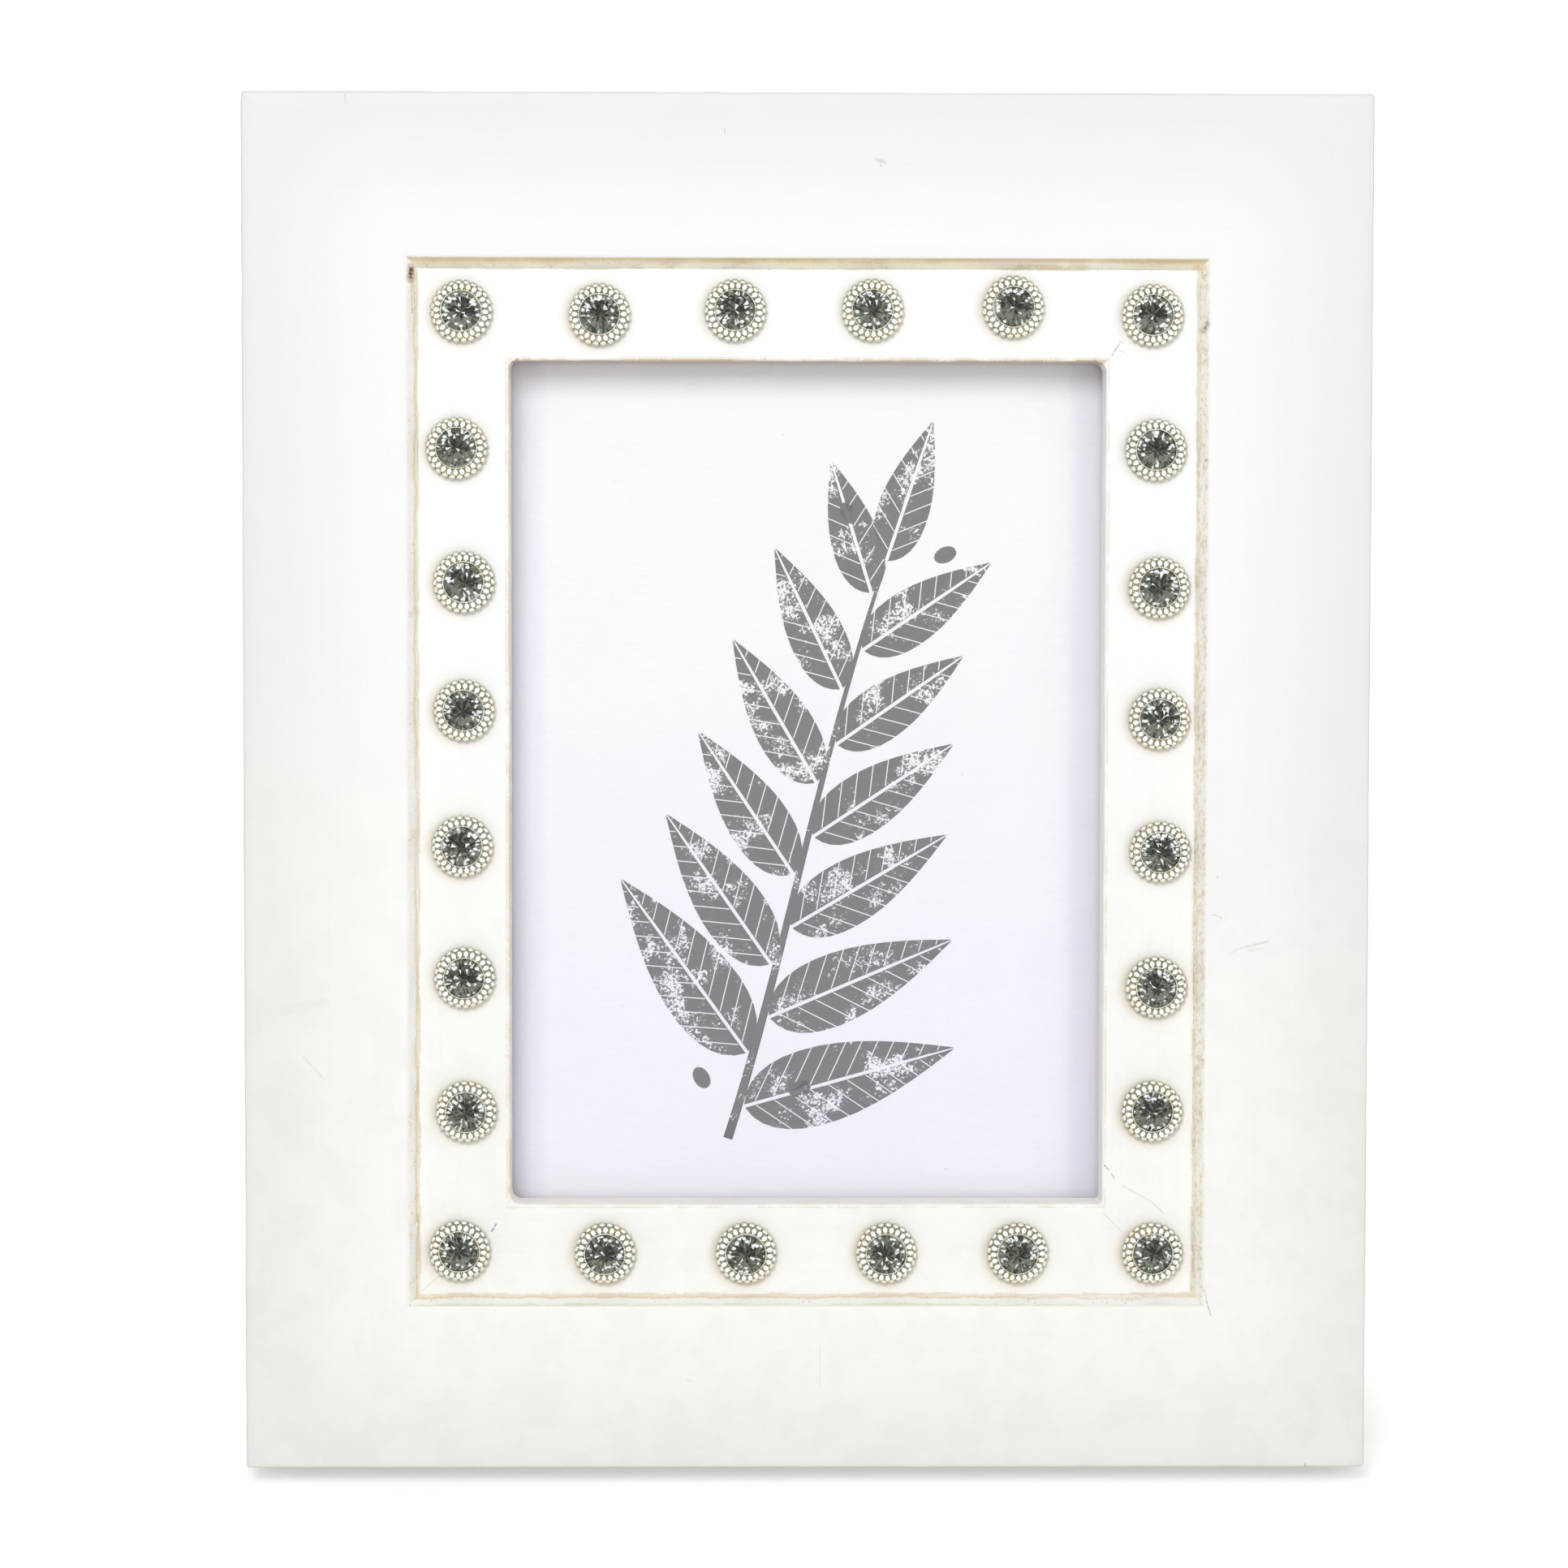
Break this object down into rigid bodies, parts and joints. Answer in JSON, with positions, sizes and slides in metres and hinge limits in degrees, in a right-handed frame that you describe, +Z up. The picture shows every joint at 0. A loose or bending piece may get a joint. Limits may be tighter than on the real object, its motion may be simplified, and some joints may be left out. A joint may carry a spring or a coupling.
{
  "type": "picture frame",
  "caption": "White painted wooden picture frame with a recessed inner band set with rhinestone studs, glass over a print, turn buttons and a folding easel leg.",
  "frame": {"origin": "on the surface the frame stands on, in the middle of its box from side to side and from front to back", "axes": "+Z up, +X to the right as seen from the front, +Y to the back; the face looks along -Y and leans back from plumb"},
  "size_m": [0.2286, 0.1125, 0.2747],
  "materials": {
    "distressed_white_paint": "matte",
    "silver_plate": "polished",
    "rhinestone": "polished",
    "clear_glass": "polished",
    "print_paper": "matte",
    "grey_card": "matte",
    "brown_hardboard": "matte",
    "zinc_plated_steel": "satin"
  },
  "bodies": {
    "frame": {"outer_board_top": "distressed_white_paint", "outer_board_bottom": "distressed_white_paint", "outer_board_left": "distressed_white_paint", "outer_board_right": "distressed_white_paint", "inner_band_top": "distressed_white_paint", "inner_band_bottom": "distressed_white_paint", "inner_band_left": "distressed_white_paint", "inner_band_right": "distressed_white_paint", "glass_pane": "clear_glass", "print_card": "print_paper", "filler_card": "grey_card", "back_board": "brown_hardboard", "stud_top_1": "silver_plate", "stud_top_2": "silver_plate", "stud_top_3": "silver_plate", "stud_top_4": "silver_plate", "stud_top_5": "silver_plate", "stud_top_6": "silver_plate", "stud_bottom_1": "silver_plate", "stud_bottom_2": "silver_plate", "stud_bottom_3": "silver_plate", "stud_bottom_4": "silver_plate", "stud_bottom_5": "silver_plate", "stud_bottom_6": "silver_plate", "stud_left_1": "silver_plate", "stud_left_2": "silver_plate", "stud_left_3": "silver_plate", "stud_left_4": "silver_plate", "stud_left_5": "silver_plate", "stud_left_6": "silver_plate", "stud_right_1": "silver_plate", "stud_right_2": "silver_plate", "stud_right_3": "silver_plate", "stud_right_4": "silver_plate", "stud_right_5": "silver_plate", "stud_right_6": "silver_plate", "hinge_leaf_fixed": "zinc_plated_steel", "hinge_pin": "zinc_plated_steel", "board_rivet_left": "zinc_plated_steel", "board_rivet_right": "zinc_plated_steel", "button_screw_left_lower": "zinc_plated_steel", "button_screw_left_upper": "zinc_plated_steel", "button_screw_right_lower": "zinc_plated_steel", "button_screw_right_upper": "zinc_plated_steel", "sawtooth_hanger": "zinc_plated_steel", "hanger_nail_left": "zinc_plated_steel", "hanger_nail_right": "zinc_plated_steel", "vnail_top_left": "zinc_plated_steel", "vnail_top_right": "zinc_plated_steel", "vnail_bottom_left": "zinc_plated_steel", "vnail_bottom_right": "zinc_plated_steel"},
    "strut": {"strut_leg": "brown_hardboard", "hinge_leaf_moving": "zinc_plated_steel", "leg_rivet_left": "zinc_plated_steel", "leg_rivet_right": "zinc_plated_steel"},
    "turn_button_left_lower": {"turn_button_left_lower": "zinc_plated_steel"},
    "turn_button_left_upper": {"turn_button_left_upper": "zinc_plated_steel"},
    "turn_button_right_lower": {"turn_button_right_lower": "zinc_plated_steel"},
    "turn_button_right_upper": {"turn_button_right_upper": "zinc_plated_steel"}
  },
  "joints": [
    {"name": "strut_fold", "type": "hinge", "parent": "frame", "child": "strut", "pos_m": [0, 0.01722, 0.19558], "axis": [-1, 0, 0], "range_deg": [0, 26]},
    {"name": "turn_button_left_lower_turn", "type": "hinge", "parent": "frame", "child": "turn_button_left_lower", "pos_m": [-0.0713, -0.0127, 0.08837], "axis": [0, 0.9659, -0.2588], "continuous": true},
    {"name": "turn_button_left_upper_turn", "type": "hinge", "parent": "frame", "child": "turn_button_left_upper", "pos_m": [-0.0713, 0.01215, 0.1811], "axis": [0, 0.9659, -0.2588], "continuous": true},
    {"name": "turn_button_right_lower_turn", "type": "hinge", "parent": "frame", "child": "turn_button_right_lower", "pos_m": [0.0713, -0.0127, 0.08837], "axis": [0, 0.9659, -0.2588], "continuous": true},
    {"name": "turn_button_right_upper_turn", "type": "hinge", "parent": "frame", "child": "turn_button_right_upper", "pos_m": [0.0713, 0.01215, 0.1811], "axis": [0, 0.9659, -0.2588], "continuous": true}
  ]
}
